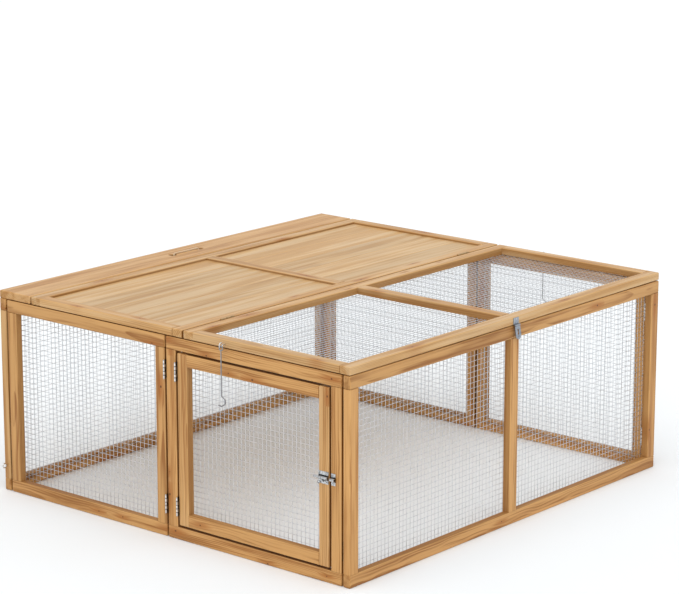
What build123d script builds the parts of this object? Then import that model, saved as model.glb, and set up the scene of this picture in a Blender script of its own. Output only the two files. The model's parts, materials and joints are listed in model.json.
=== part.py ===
from build123d import *
import os

# The whole cage in millimetres: X along the long walls, Y from front to rear, Z up from the ground.
LENGTH = 1180.0
WIDTH = 1100.0
HEIGHT = 500.0
STOCK = 20.0
BATTEN = 30.0
EASE = 3.0

# Roof: thickness of its pieces, the air under the swinging lids, and the fixed rear plank.
LID_THICK = 19.0
LID_AIR = 1.8
PLANK_WIDE = 105.0
BOARD_THICK = 10.0
BOARD_SUNK = 6.0
BOARDS_PER_BAY = 5
BOARD_EASE = 1.0
REBATE_DEEP = 2.2
REBATE_WIDE = 10.0

# Wire net: sheet thickness, strand width, opening size aimed at, overlap on its frame.
NET_THICK = 1.0
STRAND = 1.6
NET_PITCH = 42.0
NET_LAP = 10.0
NET_CORNER_LAP = 2.0

# Butt hinges, closed in the gap between two pieces, with the pin beyond the face.
GAP = 4.8
PIN_OUT = 4.4
KNUCKLE_R = 2.1
KNUCKLE_ROOM = 2.6
KNUCKLES = 5
KNUCKLE_PLAY = 0.3
PIN_R = 1.0
BORE_R = 1.05
PIN_HEAD_R = 1.6
PIN_HEAD = 0.8
LEAF_THICK = 1.2
TONGUE_THICK = 0.7
LEAF_IN = 15.0
LEAF_LID = 12.0
HINGE_TALL = 44.0
HINGE_LEVELS = (80.0, 400.0)
LID_HINGE_X = (-440.0, 440.0)
SPLIT_PIN_UP = 0.4

# Barrel bolt on the door's front stile.
BOLT_Z = 240.0
BOLT_OUT = 4.4
BOLT_R = 2.4
BOLT_BORE_R = 2.48
BOLT_LONG = 40.0
BOLT_THROW = 14.0
BARREL_R = 3.6
BOLT_PLATE = 28.0
BOLT_BACK = 1.0
BOLT_END_EASE = 0.8
BOLT_SCREW_OFF = 10.5
KEEPER_INSET = 2.4
KEEPER_WIDE = 12.0
KEEPER_TALL = 27.0
KEEPER_SCREW_OFF = 10.0
KEEPER_R = 3.9
KEEPER_BORE_R = 2.7
KNOB_R = 4.0
KNOB_REACH = 10.5
KNOB_STEM_R = 1.3
KNOB_LEAN = 30.0
KNOB_FROM_TAIL = 20.0
KNOB_SLOT_ROOM = 0.3
PLATE_THICK = 1.2

# Hasp on the middle of the front: pin place, slotted strap, staple under it.
HASP_PIN_OUT = 4.2
HASP_PIN_DOWN = 0.4
HASP_WEB_LOW = 0.8
HASP_WEB_TOP = 2.0
HASP_LEAF_INSET = 2.0
HASP_SCREW_UP = 13.0
HASP_BARREL_R = 2.2
HASP_WIDE = 20.0
HASP_MID = 6.0
STRAP_THICK = 1.4
STRAP_LONG = 33.0
STRAP_ROOM = 2.7
SLOT_WIDE = 5.6
SLOT_TOP = 9.0
SLOT_END = 23.0
STRAP_TILT = 10.0
STAPLE_R = 1.0
STAPLE_DOWN = 16.0
STAPLE_HALF = 3.5
STAPLE_OUT = 6.0
STAPLE_IN = 10.0

# Wire hooks and screw eyes.
HOOK_Y = -187.0
EYE_OUT = 14.0
REAR_EYE_OUT = 10.0
REAR_EYE_Z = 64.0
EYE_MEAN_R = 5.2
WIRE_R = 1.4
EYE_SHANK_IN = 12.0
HOOK_RING_R = 5.0
HOOK_DROP = 7.1
HOOK_BEND_R = 4.0
HOOK_BENDS = ((0.0, 110.0), (-11.0, 117.0), (-11.0, 127.0), (0.0, 134.0), (9.0, 132.5))

# Carrying rope through two holes in the plank, near their inner sides.
ROPE_R = 2.2
ROPE_HOLES_X = (-46.0, 52.0)
ROPE_HOLE_R = 9.0
ROPE_HOLE_EASE = 2.6
ROPE_HOLE_ROOM = 2.3
ROPE_TURN_R = 7.0
ROPE_SLACK_R = 14.0
ROPE_DROP = 37.0
ROPE_SAG = 66.0
ROPE_END_OFF = 2.6
ROPE_LIFT = 0.1
KNOT_R = 7.0

# Screws of the hardware.
SCREW_R = 1.2
SCREW_HOLE_R = 1.26
SCREW_IN = 9.0
SCREW_HEAD_R = 2.6
SCREW_HEAD = 1.1
SCREW_DOME_R = 0.9
HOLE_OVER = 0.5
HOLE_SLACK = 0.05

os.makedirs("parts", exist_ok=True)

HALF_L = LENGTH / 2
HALF_W = WIDTH / 2
FACE_X = HALF_L - STOCK
FACE_Y = HALF_W - STOCK
LID_Z = HEIGHT - LID_THICK
WALL_TOP = LID_Z - LID_AIR
PANEL_END = FACE_Y - GAP
PANEL_MID = GAP / 2
CORNER_PIN_X = FACE_X - PIN_OUT
CORNER_PIN_Y = FACE_Y - GAP / 2
FOLD_PIN_X = HALF_L + PIN_OUT
LAP_LESS_FRAME = 2 * NET_LAP - 2 * BATTEN


def save(name, *solids):
    """One node: its solids side by side in one file."""
    export_step(Compound(list(solids)), f"parts/{name}.step")


def batten(x0, x1, y0, y1, z0, z1, ends=False, ease=EASE):
    """A planed bar between two opposite corners: long edges rounded, and the ends too where they show."""
    spans = (abs(x1 - x0), y1 - y0, z1 - z0)
    bar = Pos((x0 + x1) / 2, (y0 + y1) / 2, (z0 + z1) / 2) * Box(*spans)
    along = (Axis.X, Axis.Y, Axis.Z)[spans.index(max(spans))]
    rounded = bar.edges() if ends else bar.edges().filter_by(along)
    return fillet(rounded, ease)


def block(x0, x1, y0, y1, z0, z1):
    """A plain box between two opposite corners."""
    return Pos((x0 + x1) / 2, (y0 + y1) / 2, (z0 + z1) / 2) * Box(abs(x1 - x0), abs(y1 - y0), abs(z1 - z0))


def rod(start, end, radius):
    """A round bar from one point to another."""
    a = Vector(*start)
    b = Vector(*end)
    way = b - a
    return Plane(origin=a, z_dir=way).location * Cylinder(
        radius, way.length, align=(Align.CENTER, Align.CENTER, Align.MIN)
    )


def net(plane, wide, tall):
    """Welded net as one pierced sheet, its back on the plane: even strands with square openings."""
    across = round(wide / NET_PITCH)
    up = round(tall / NET_PITCH)
    step_u = (wide - STRAND) / across
    step_v = (tall - STRAND) / up
    half_u = wide / 2
    half_v = tall / 2
    outline = Wire.make_polygon([(-half_u, -half_v), (half_u, -half_v), (half_u, half_v), (-half_u, half_v)])
    holes = []
    for i in range(across):
        for j in range(up):
            u0 = -half_u + STRAND + i * step_u
            v0 = -half_v + STRAND + j * step_v
            u1 = u0 + step_u - STRAND
            v1 = v0 + step_v - STRAND
            holes.append(Wire.make_polygon([(u0, v0), (u1, v0), (u1, v1), (u0, v1)]))
    return plane.location * extrude(Face(outline, holes), NET_THICK)


def butt_hinge(plane, deep):
    """A closed butt hinge: the leaf with the end knuckles on the plane's y side, the other leaf, the pin."""
    seg = HINGE_TALL / KNUCKLES
    leaves = []
    for side, owned in ((1, range(0, KNUCKLES, 2)), (-1, range(1, KNUCKLES, 2))):
        y_out = side * GAP / 2
        y_in = side * (GAP / 2 - LEAF_THICK)
        leaf = block(-deep, -KNUCKLE_ROOM, y_in, y_out, -HINGE_TALL / 2, HINGE_TALL / 2)
        for k in owned:
            z0 = -HINGE_TALL / 2 + k * seg + (KNUCKLE_PLAY / 2 if k > 0 else 0)
            z1 = -HINGE_TALL / 2 + (k + 1) * seg - (KNUCKLE_PLAY / 2 if k < KNUCKLES - 1 else 0)
            leaf += block(-KNUCKLE_ROOM, 0, y_in, y_in + side * TONGUE_THICK, z0, z1)
            leaf += rod((0, 0, z0), (0, 0, z1), KNUCKLE_R)
        leaf -= rod((0, 0, -HINGE_TALL), (0, 0, HINGE_TALL), BORE_R)
        leaves.append(plane.location * leaf)
    pin = rod((0, 0, -HINGE_TALL / 2), (0, 0, HINGE_TALL / 2), PIN_R)
    for end in (-1, 1):
        pin += rod((0, 0, end * HINGE_TALL / 2), (0, 0, end * (HINGE_TALL / 2 + PIN_HEAD)), PIN_HEAD_R)
    return leaves[0], leaves[1], plane.location * pin


def upright_hinges(x, y, x_way):
    """The two hinges of an upright line, as lists of first leaves, second leaves and pins."""
    sets = []
    for z in HINGE_LEVELS:
        place = Plane(origin=(x, y, z), x_dir=(x_way, 0, 0), z_dir=(0, 0, x_way))
        sets.append(butt_hinge(place, PIN_OUT + LEAF_IN))
    return [list(column) for column in zip(*sets)]


def screw(x, y, z, way):
    """A round-headed screw: head on the plate, shank through it into the wood behind."""
    out = Vector(*way)
    foot = Vector(x, y, z)
    inner = foot - out * (PLATE_THICK + SCREW_IN)
    head = Plane(origin=foot, z_dir=out).location * Cylinder(
        SCREW_HEAD_R, SCREW_HEAD, align=(Align.CENTER, Align.CENTER, Align.MIN)
    )
    head = fillet(head.edges().sort_by(lambda e: (e.center() - foot).dot(out))[-1:], SCREW_DOME_R)
    return head + rod(tuple(inner), tuple(foot), SCREW_R)


def screw_hole(x, y, z, way):
    """What the screw's shank takes out of the plate and the wood."""
    out = Vector(*way)
    foot = Vector(x, y, z)
    inner = foot - out * (PLATE_THICK + SCREW_IN + HOLE_OVER)
    return rod(tuple(inner), tuple(foot + out * HOLE_OVER), SCREW_HOLE_R)


# Hinges of the six upright lines: rear corner, fold and front corner of each side, and of the door.
rear_leaves = []
rear_pins = []
side_leaves = {}
side_pins = {}
front_leaves = []
for side, word in ((-1, "left"), (1, "right")):
    on_rear, on_panel, pins = upright_hinges(side * CORNER_PIN_X, CORNER_PIN_Y, -side)
    rear_leaves += on_rear
    rear_pins += pins
    fold_rear, fold_front, fold_pins = upright_hinges(side * FOLD_PIN_X, 0, side)
    on_front_panel, on_front, front_pins = upright_hinges(side * CORNER_PIN_X, -CORNER_PIN_Y, -side)
    front_leaves += on_front
    side_leaves[word] = (on_panel + fold_rear, fold_front + on_front_panel)
    side_pins[word] = (fold_pins, front_pins)

# Rear wall: long rails run through, stiles and mid post stand between them, net inside.
REAR_EYE_Y = HALF_W - STOCK / 2


def eye_hole(side, y, z):
    """The bore that a screw eye's shank fills in an end face."""
    return rod((side * (HALF_L - EYE_SHANK_IN - HOLE_OVER), y, z), (side * HALF_L, y, z), WIRE_R + HOLE_SLACK)


rear_stiles = []
for side in (-1, 1):
    low, high = sorted((side * (HALF_L - BATTEN), side * HALF_L))
    stile = batten(low, high, FACE_Y, HALF_W, BATTEN, LID_Z - BATTEN)
    rear_stiles.append(stile - eye_hole(side, REAR_EYE_Y, REAR_EYE_Z))
save(
    "rear_rails",
    batten(-HALF_L, HALF_L, FACE_Y, HALF_W, 0, BATTEN, ends=True),
    batten(-HALF_L, HALF_L, FACE_Y, HALF_W, LID_Z - BATTEN, LID_Z, ends=True),
)
save("rear_stiles", *rear_stiles)
save("rear_mid_post", batten(-BATTEN / 2, BATTEN / 2, FACE_Y, HALF_W, BATTEN, LID_Z - BATTEN))
LONG_NET_WIDE = LENGTH - 2 * BATTEN + 2 * NET_CORNER_LAP
LONG_NET_TALL = WALL_TOP + LAP_LESS_FRAME
long_net_z = WALL_TOP / 2
rear_sheet = Plane(origin=(0, FACE_Y, long_net_z), x_dir=(1, 0, 0), z_dir=(0, -1, 0))
save("rear_net", net(rear_sheet, LONG_NET_WIDE, LONG_NET_TALL))

# Roof plank on the rear wall, with the rope's two eased holes.
PLANK_FRONT = HALF_W - PLANK_WIDE
folded_gap_y = CORNER_PIN_Y - (FOLD_PIN_X - CORNER_PIN_X)
plank = batten(-HALF_L, HALF_L, PLANK_FRONT, HALF_W, LID_Z, HEIGHT, ends=True)
for x in ROPE_HOLES_X:
    plank -= rod((x, folded_gap_y, LID_Z - 1), (x, folded_gap_y, HEIGHT + 1), ROPE_HOLE_R)
    mouth = Cone(ROPE_HOLE_R, ROPE_HOLE_R + ROPE_HOLE_EASE, ROPE_HOLE_EASE)
    plank -= Pos(x, folded_gap_y, HEIGHT - ROPE_HOLE_EASE / 2) * mouth
save("top_plank", plank)

# Carrying rope: flat on the plank between the holes, down through both, tied in its slack below.
rope_top = HEIGHT + ROPE_R + ROPE_LIFT
rope_in = ROPE_HOLE_R - ROPE_HOLE_ROOM - ROPE_R
rope_left = ROPE_HOLES_X[0] + rope_in
rope_right = ROPE_HOLES_X[1] - rope_in
knot_x = (rope_left + rope_right) / 2
knot_z = rope_top - ROPE_SAG
turn_z = rope_top - ROPE_DROP
rope_path = FilletPolyline(
    (knot_x - ROPE_END_OFF, folded_gap_y, knot_z),
    (rope_left, folded_gap_y, turn_z),
    (rope_left, folded_gap_y, rope_top),
    (rope_right, folded_gap_y, rope_top),
    (rope_right, folded_gap_y, turn_z),
    (knot_x + ROPE_END_OFF, folded_gap_y, knot_z),
    radius=(ROPE_SLACK_R, ROPE_TURN_R, ROPE_TURN_R, ROPE_SLACK_R),
)
print("rope radii", sorted({round(e.radius, 2) for e in rope_path.edges().filter_by(GeomType.CIRCLE)}))
rope = sweep(Plane(origin=rope_path @ 0, z_dir=rope_path % 0) * Circle(ROPE_R), path=rope_path)
rope += Pos(knot_x, folded_gap_y, knot_z) * Rot(X=90) * Sphere(KNOT_R)
save("carry_rope", rope)

# Screw eyes on the rear wall's two ends, for the hooks of the packed cage.
def screw_eye(face_x, y, z, side, out):
    """A ring standing off an end face, with its shank in the wood."""
    ring = Pos(face_x + side * out, y, z) * Rot(X=90) * Torus(EYE_MEAN_R, WIRE_R)
    tail = (face_x - side * EYE_SHANK_IN, y, z)
    return ring + rod(tail, (face_x + side * (out - EYE_MEAN_R), y, z), WIRE_R)


save("rear_eyes", *[screw_eye(side * HALF_L, REAR_EYE_Y, REAR_EYE_Z, side, REAR_EYE_OUT) for side in (-1, 1)])

# Side panels: each side is a rear and a front panel, rails run through, stiles between.
KEEPER_Y = -(PANEL_END - BATTEN) - KEEPER_INSET - KEEPER_WIDE / 2
PLATE_X = -HALF_L - PLATE_THICK
keeper_offs = (-KEEPER_SCREW_OFF, KEEPER_SCREW_OFF)
keeper_screws = [(PLATE_X, KEEPER_Y, BOLT_Z + dz, (-1, 0, 0)) for dz in keeper_offs]
for side, word in ((-1, "left"), (1, "right")):
    x0, x1 = sorted((side * FACE_X, side * HALF_L))
    for half, place in ((1, "rear"), (-1, "front")):
        name = f"{word}_{place}"
        near, far = sorted((half * PANEL_MID, half * PANEL_END))
        low_rail = batten(x0, x1, near, far, 0, BATTEN, ends=True)
        top_rail = batten(x0, x1, near, far, WALL_TOP - BATTEN, WALL_TOP, ends=True)
        save(f"{name}_rails", low_rail, top_rail)
        stiles = [
            batten(x0, x1, near, near + BATTEN, BATTEN, WALL_TOP - BATTEN),
            batten(x0, x1, far - BATTEN, far, BATTEN, WALL_TOP - BATTEN),
        ]
        if name == "left_front":
            for spot in keeper_screws:
                stiles[0] -= screw_hole(*spot)
        else:
            middle = (side * FACE_X, (near + far) / 2, WALL_TOP / 2)
            sheet = Plane(origin=middle, x_dir=(0, 1, 0), z_dir=(-side, 0, 0))
            save(f"{name}_net", net(sheet, far - near + LAP_LESS_FRAME, WALL_TOP + LAP_LESS_FRAME))
        save(f"{name}_stiles", *stiles)

# Door in the left front panel: stiles run through, rails between, hinged on its rear stile.
DOOR_REAR = -(PANEL_MID + BATTEN + GAP)
DOOR_FRONT = -(PANEL_END - BATTEN - GAP)
DOOR_LOW = BATTEN + GAP
DOOR_TOP = WALL_TOP - BATTEN - GAP
DOOR_PIN_Y = DOOR_REAR + GAP / 2
panel_door_leaves, door_leaves, door_pins = upright_hinges(-FOLD_PIN_X, DOOR_PIN_Y, -1)
plate_mid = DOOR_FRONT + BATTEN / 2
corner_offs = (-BOLT_SCREW_OFF, BOLT_SCREW_OFF)
bolt_screws = [(PLATE_X, plate_mid + dy, BOLT_Z + dz, (-1, 0, 0)) for dy in corner_offs for dz in corner_offs]
front_stile = batten(-HALF_L, -FACE_X, DOOR_FRONT, DOOR_FRONT + BATTEN, DOOR_LOW, DOOR_TOP, ends=True)
rear_stile = batten(-HALF_L, -FACE_X, DOOR_REAR - BATTEN, DOOR_REAR, DOOR_LOW, DOOR_TOP, ends=True)
for spot in bolt_screws:
    front_stile -= screw_hole(*spot)
save("door_stiles", front_stile, rear_stile)
save(
    "door_rails",
    batten(-HALF_L, -FACE_X, DOOR_FRONT + BATTEN, DOOR_REAR - BATTEN, DOOR_LOW, DOOR_LOW + BATTEN),
    batten(-HALF_L, -FACE_X, DOOR_FRONT + BATTEN, DOOR_REAR - BATTEN, DOOR_TOP - BATTEN, DOOR_TOP),
)
door_mid = (-FACE_X, (DOOR_REAR + DOOR_FRONT) / 2, (DOOR_LOW + DOOR_TOP) / 2)
door_sheet = Plane(origin=door_mid, x_dir=(0, 1, 0), z_dir=(1, 0, 0))
door_net_wide = DOOR_REAR - DOOR_FRONT + LAP_LESS_FRAME
save("door_net", net(door_sheet, door_net_wide, DOOR_TOP - DOOR_LOW + LAP_LESS_FRAME))
save("door_hinge_leaves", *door_leaves)

# Barrel bolt: plate with its slotted barrel on the door, rod with a knob, keeper on the panel.
BOLT_X = -HALF_L - BOLT_OUT
BOLT_TIP = DOOR_FRONT + BOLT_BACK
knob_y = BOLT_TIP + BOLT_LONG - KNOB_FROM_TAIL
plate_low = plate_mid - BOLT_PLATE / 2
plate_high = plate_mid + BOLT_PLATE / 2
base = block(PLATE_X, -HALF_L, plate_low, plate_high, BOLT_Z - BOLT_PLATE / 2, BOLT_Z + BOLT_PLATE / 2)
base += rod((BOLT_X, plate_low, BOLT_Z), (BOLT_X, plate_high, BOLT_Z), BARREL_R)
base -= rod((BOLT_X, plate_mid - BOLT_PLATE, BOLT_Z), (BOLT_X, plate_mid + BOLT_PLATE, BOLT_Z), BOLT_BORE_R)
slot_half = KNOB_STEM_R + KNOB_SLOT_ROOM
lean = Pos(BOLT_X, 0, BOLT_Z) * Rot(Y=180 + KNOB_LEAN)
slot_low = knob_y - BOLT_THROW - slot_half
base -= lean * block(-slot_half, slot_half, slot_low, knob_y + slot_half, 0, 2 * BARREL_R)
for spot in bolt_screws:
    base -= screw_hole(*spot)
save("bolt_base", base)
bolt = rod((BOLT_X, BOLT_TIP, BOLT_Z), (BOLT_X, BOLT_TIP + BOLT_LONG, BOLT_Z), BOLT_R)
bolt = fillet(bolt.edges().filter_by(GeomType.CIRCLE), BOLT_END_EASE)
bolt += lean * rod((0, knob_y, 0), (0, knob_y, KNOB_REACH), KNOB_STEM_R)
bolt += lean * Pos(0, knob_y, KNOB_REACH) * Sphere(KNOB_R)
save("door_bolt", bolt)
save("bolt_screws", *[screw(*spot) for spot in bolt_screws])
keeper_low = KEEPER_Y - KEEPER_WIDE / 2
keeper_high = KEEPER_Y + KEEPER_WIDE / 2
keeper = block(PLATE_X, -HALF_L, keeper_low, keeper_high, BOLT_Z - KEEPER_TALL / 2, BOLT_Z + KEEPER_TALL / 2)
keeper += rod((BOLT_X, keeper_low, BOLT_Z), (BOLT_X, keeper_high, BOLT_Z), KEEPER_R)
bore_ends = [(BOLT_X, KEEPER_Y + end * KEEPER_WIDE, BOLT_Z) for end in (-1, 1)]
keeper -= rod(*bore_ends, KEEPER_BORE_R)
for spot in keeper_screws:
    keeper -= screw_hole(*spot)
save("bolt_keeper", keeper)
save("keeper_screws", *[screw(*spot) for spot in keeper_screws])

# Front wall, with the hasp's wire staple in its top rail.
HASP_Y = -HALF_W - HASP_PIN_OUT
HASP_Z = LID_Z - HASP_PIN_DOWN
staple_z = HASP_Z - STAPLE_DOWN
arch_y = -HALF_W - STAPLE_OUT + STAPLE_HALF
nose_y = arch_y - STAPLE_HALF
staple_root = -HALF_W + STAPLE_IN
leg_top = staple_z + STAPLE_HALF
leg_low = staple_z - STAPLE_HALF
staple_path = Wire(
    [
        Edge.make_line((0, staple_root, leg_top), (0, arch_y, leg_top)),
        Edge.make_three_point_arc((0, arch_y, leg_top), (0, nose_y, staple_z), (0, arch_y, leg_low)),
        Edge.make_line((0, arch_y, leg_low), (0, staple_root, leg_low)),
    ]
)
staple = sweep(Plane(origin=staple_path @ 0, z_dir=staple_path % 0) * Circle(STAPLE_R), path=staple_path)
save("hasp_staple", staple)
front_top = batten(-HALF_L, HALF_L, -HALF_W, -FACE_Y, WALL_TOP - BATTEN, WALL_TOP, ends=True)
for leg in (leg_low, leg_top):
    front_top -= rod((0, -HALF_W - HOLE_OVER, leg), (0, staple_root + HOLE_OVER, leg), STAPLE_R + HOLE_SLACK)
save("front_rails", batten(-HALF_L, HALF_L, -HALF_W, -FACE_Y, 0, BATTEN, ends=True), front_top)
save(
    "front_stiles",
    batten(-HALF_L, -HALF_L + BATTEN, -HALF_W, -FACE_Y, BATTEN, WALL_TOP - BATTEN),
    batten(HALF_L - BATTEN, HALF_L, -HALF_W, -FACE_Y, BATTEN, WALL_TOP - BATTEN),
)
save("front_mid_post", batten(-BATTEN / 2, BATTEN / 2, -HALF_W, -FACE_Y, BATTEN, WALL_TOP - BATTEN))
front_sheet = Plane(origin=(0, -FACE_Y, long_net_z), x_dir=(1, 0, 0), z_dir=(0, 1, 0))
save("front_net", net(front_sheet, LONG_NET_WIDE, LONG_NET_TALL))
save("front_hinge_leaves", *front_leaves)

# Lids: the boarded one next to the plank and the net one in front, both of equal depth.
LID_DEEP = (PLANK_FRONT + HALF_W - 2 * GAP) / 2
SOLID_REAR = PLANK_FRONT - GAP
SOLID_FRONT = SOLID_REAR - LID_DEEP
MESH_REAR = SOLID_FRONT - GAP
MESH_FRONT = -HALF_W
cross_spans = ((-HALF_L, -HALF_L + BATTEN), (-BATTEN / 2, BATTEN / 2), (HALF_L - BATTEN, HALF_L))


def lid_rails(front, rear):
    """The two long rails of a lid and the three cross rails between them."""
    long_rails = [
        batten(-HALF_L, HALF_L, front, front + BATTEN, LID_Z, HEIGHT, ends=True),
        batten(-HALF_L, HALF_L, rear - BATTEN, rear, LID_Z, HEIGHT, ends=True),
    ]
    cross_rails = [batten(x0, x1, front + BATTEN, rear - BATTEN, LID_Z, HEIGHT) for x0, x1 in cross_spans]
    return long_rails, cross_rails


solid_long, solid_cross = lid_rails(SOLID_FRONT, SOLID_REAR)
save("solid_lid_long_rails", *solid_long)
save("solid_lid_cross_rails", *solid_cross)
boards = []
bay_front = SOLID_FRONT + BATTEN
board_wide = (LID_DEEP - 2 * BATTEN) / BOARDS_PER_BAY
board_top = HEIGHT - BOARD_SUNK
for x0, x1 in ((cross_spans[0][1], cross_spans[1][0]), (cross_spans[1][1], cross_spans[2][0])):
    for k in range(BOARDS_PER_BAY):
        y0 = bay_front + k * board_wide
        board_low = board_top - BOARD_THICK
        boards.append(batten(x0, x1, y0, y0 + board_wide, board_low, board_top, ease=BOARD_EASE))
save("solid_lid_boards", *boards)

# Net lid: a rebate under the frame takes the net, the front rail the hasp and the ends the hook eyes.
mesh_long, mesh_cross = lid_rails(MESH_FRONT, MESH_REAR)
net_wide = LENGTH - 2 * BATTEN + 2 * REBATE_WIDE
net_deep = LID_DEEP - 2 * BATTEN + 2 * REBATE_WIDE
lid_mid_y = (MESH_FRONT + MESH_REAR) / 2
rebate = Pos(0, lid_mid_y, LID_Z) * Box(net_wide, net_deep, 2 * REBATE_DEEP)
hasp_screws = [(0, -HALF_W - PLATE_THICK, LID_Z + HASP_SCREW_UP, (0, -1, 0))]
mesh_long[0] -= screw_hole(*hasp_screws[0])
eye_z = LID_Z + LID_THICK / 2
for side, index in ((-1, 0), (1, 2)):
    mesh_cross[index] -= eye_hole(side, HOOK_Y, eye_z)
save("mesh_lid_long_rails", *[rail - rebate for rail in mesh_long])
save("mesh_lid_cross_rails", *[rail - rebate for rail in mesh_cross])
lid_sheet = Plane(origin=(0, lid_mid_y, LID_Z + REBATE_DEEP), x_dir=(1, 0, 0), z_dir=(0, 0, -1))
save("mesh_lid_net", net(lid_sheet, net_wide - 2 * HOLE_OVER, net_deep - 2 * HOLE_OVER))
save("lid_eyes", *[screw_eye(side * HALF_L, HOOK_Y, eye_z, side, EYE_OUT) for side in (-1, 1)])

# Lid hinges: plank to boarded lid inside their gap, boarded lid to net lid level with the top.
SPLIT_Y = (SOLID_FRONT + MESH_REAR) / 2
plank_sets = []
split_sets = []
for x in LID_HINGE_X:
    under = Plane(origin=(x, PLANK_FRONT - GAP / 2, LID_Z + GAP / 2), x_dir=(0, 0, -1), z_dir=(1, 0, 0))
    plank_sets.append(butt_hinge(under, LEAF_LID))
    over = Plane(origin=(x, SPLIT_Y, HEIGHT + SPLIT_PIN_UP), x_dir=(0, 0, 1), z_dir=(-1, 0, 0))
    split_sets.append(butt_hinge(over, LEAF_LID))
save("rear_hinge_leaves", *rear_leaves, *[found[0] for found in plank_sets])
save("rear_hinge_pins", *rear_pins, *[found[2] for found in plank_sets])
save("solid_lid_hinge_leaves", *[found[1] for found in plank_sets], *[found[0] for found in split_sets])
save("solid_lid_hinge_pins", *[found[2] for found in split_sets])
save("mesh_lid_hinge_leaves", *[found[1] for found in split_sets])
for word in ("left", "right"):
    rear_set, front_set = side_leaves[word]
    rear_panel_pins, front_panel_pins = side_pins[word]
    if word == "left":
        front_set = front_set + panel_door_leaves
        front_panel_pins = front_panel_pins + door_pins
    save(f"{word}_rear_hinge_leaves", *rear_set)
    save(f"{word}_rear_hinge_pins", *rear_panel_pins)
    save(f"{word}_front_hinge_leaves", *front_set)
    save(f"{word}_front_hinge_pins", *front_panel_pins)

# Hasp: leaf on the lid's edge with two outer knuckles, pin, and the slotted strap hung between them.
half = HASP_WIDE / 2
mid = HASP_MID / 2
leaf = block(-half, half, -HALF_W - PLATE_THICK, -HALF_W, HASP_Z + HASP_WEB_LOW, HEIGHT - HASP_LEAF_INSET)
for side in (-1, 1):
    inner = side * (mid + KNUCKLE_PLAY)
    leaf += rod((inner, HASP_Y, HASP_Z), (side * half, HASP_Y, HASP_Z), HASP_BARREL_R)
    leaf += block(inner, side * half, HASP_Y, -HALF_W, HASP_Z + HASP_WEB_LOW, HASP_Z + HASP_WEB_TOP)
leaf -= rod((-HASP_WIDE, HASP_Y, HASP_Z), (HASP_WIDE, HASP_Y, HASP_Z), BORE_R)
leaf -= screw_hole(*hasp_screws[0])
save("hasp_leaf", leaf)
hasp_pin = rod((-half, HASP_Y, HASP_Z), (half, HASP_Y, HASP_Z), PIN_R)
for side in (-1, 1):
    hasp_pin += rod((side * half, HASP_Y, HASP_Z), (side * (half + PIN_HEAD), HASP_Y, HASP_Z), PIN_HEAD_R)
save("hasp_pin", hasp_pin)
save("hasp_screws", *[screw(*spot) for spot in hasp_screws])
thin = STRAP_THICK / 2
strap = block(-half, half, -thin, thin, -STRAP_LONG + half, -STRAP_ROOM)
strap += Pos(0, 0, -STRAP_LONG + half) * Rot(X=90) * Cylinder(half, STRAP_THICK)
strap += block(-mid, mid, -thin, thin, -STRAP_ROOM, 0)
strap += rod((-mid, 0, 0), (mid, 0, 0), HASP_BARREL_R)
strap -= rod((-half, 0, 0), (half, 0, 0), BORE_R)
slot_r = SLOT_WIDE / 2
strap -= block(-slot_r, slot_r, -STRAP_THICK, STRAP_THICK, -SLOT_END + slot_r, -SLOT_TOP - slot_r)
for z in (-SLOT_TOP - slot_r, -SLOT_END + slot_r):
    strap -= Pos(0, 0, z) * Rot(X=90) * Cylinder(slot_r, 2 * STRAP_THICK)
save("hasp_strap", Pos(0, HASP_Y, HASP_Z) * Rot(X=-STRAP_TILT) * strap)

# Long wire hooks hung in the lid's eyes: ring, straight shank, bowed end with a turned-out tail.
for side, word in ((-1, "left"), (1, "right")):
    x = side * (HALF_L + EYE_OUT)
    ring_z = eye_z - HOOK_DROP
    hook_path = FilletPolyline(
        (x, HOOK_Y, ring_z - HOOK_RING_R),
        *[(x, HOOK_Y + dy, ring_z - down) for dy, down in HOOK_BENDS],
        radius=HOOK_BEND_R,
    )
    hook = sweep(Plane(origin=hook_path @ 0, z_dir=hook_path % 0) * Circle(WIRE_R), path=hook_path)
    hook += Pos(x, HOOK_Y, ring_z) * Rot(Y=90) * Torus(HOOK_RING_R, WIRE_R)
    save(f"{word}_hook", hook)
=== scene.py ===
import json

import bpy
import numpy as np
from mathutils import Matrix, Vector

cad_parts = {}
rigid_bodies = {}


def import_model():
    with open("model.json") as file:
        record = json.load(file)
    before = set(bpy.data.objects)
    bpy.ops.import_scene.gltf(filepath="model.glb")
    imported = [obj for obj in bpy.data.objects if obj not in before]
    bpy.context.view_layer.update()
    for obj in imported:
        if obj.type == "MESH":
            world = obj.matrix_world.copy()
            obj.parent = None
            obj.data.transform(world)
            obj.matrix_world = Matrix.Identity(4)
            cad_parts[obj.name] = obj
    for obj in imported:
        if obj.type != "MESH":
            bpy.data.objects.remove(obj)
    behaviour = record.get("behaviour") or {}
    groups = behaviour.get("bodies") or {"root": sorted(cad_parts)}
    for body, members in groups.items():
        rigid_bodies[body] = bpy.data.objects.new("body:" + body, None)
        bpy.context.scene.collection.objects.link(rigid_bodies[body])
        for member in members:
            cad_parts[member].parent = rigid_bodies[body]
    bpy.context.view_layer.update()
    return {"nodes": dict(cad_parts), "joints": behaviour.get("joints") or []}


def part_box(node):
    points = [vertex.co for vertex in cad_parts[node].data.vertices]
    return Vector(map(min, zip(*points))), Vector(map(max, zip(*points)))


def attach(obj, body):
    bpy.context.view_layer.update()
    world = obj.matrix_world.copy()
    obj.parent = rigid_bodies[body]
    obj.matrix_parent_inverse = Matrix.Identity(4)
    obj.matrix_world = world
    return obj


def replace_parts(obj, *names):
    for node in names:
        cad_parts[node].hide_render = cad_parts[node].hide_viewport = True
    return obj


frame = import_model()
cad = frame["nodes"]
scene = bpy.context.scene

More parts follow.
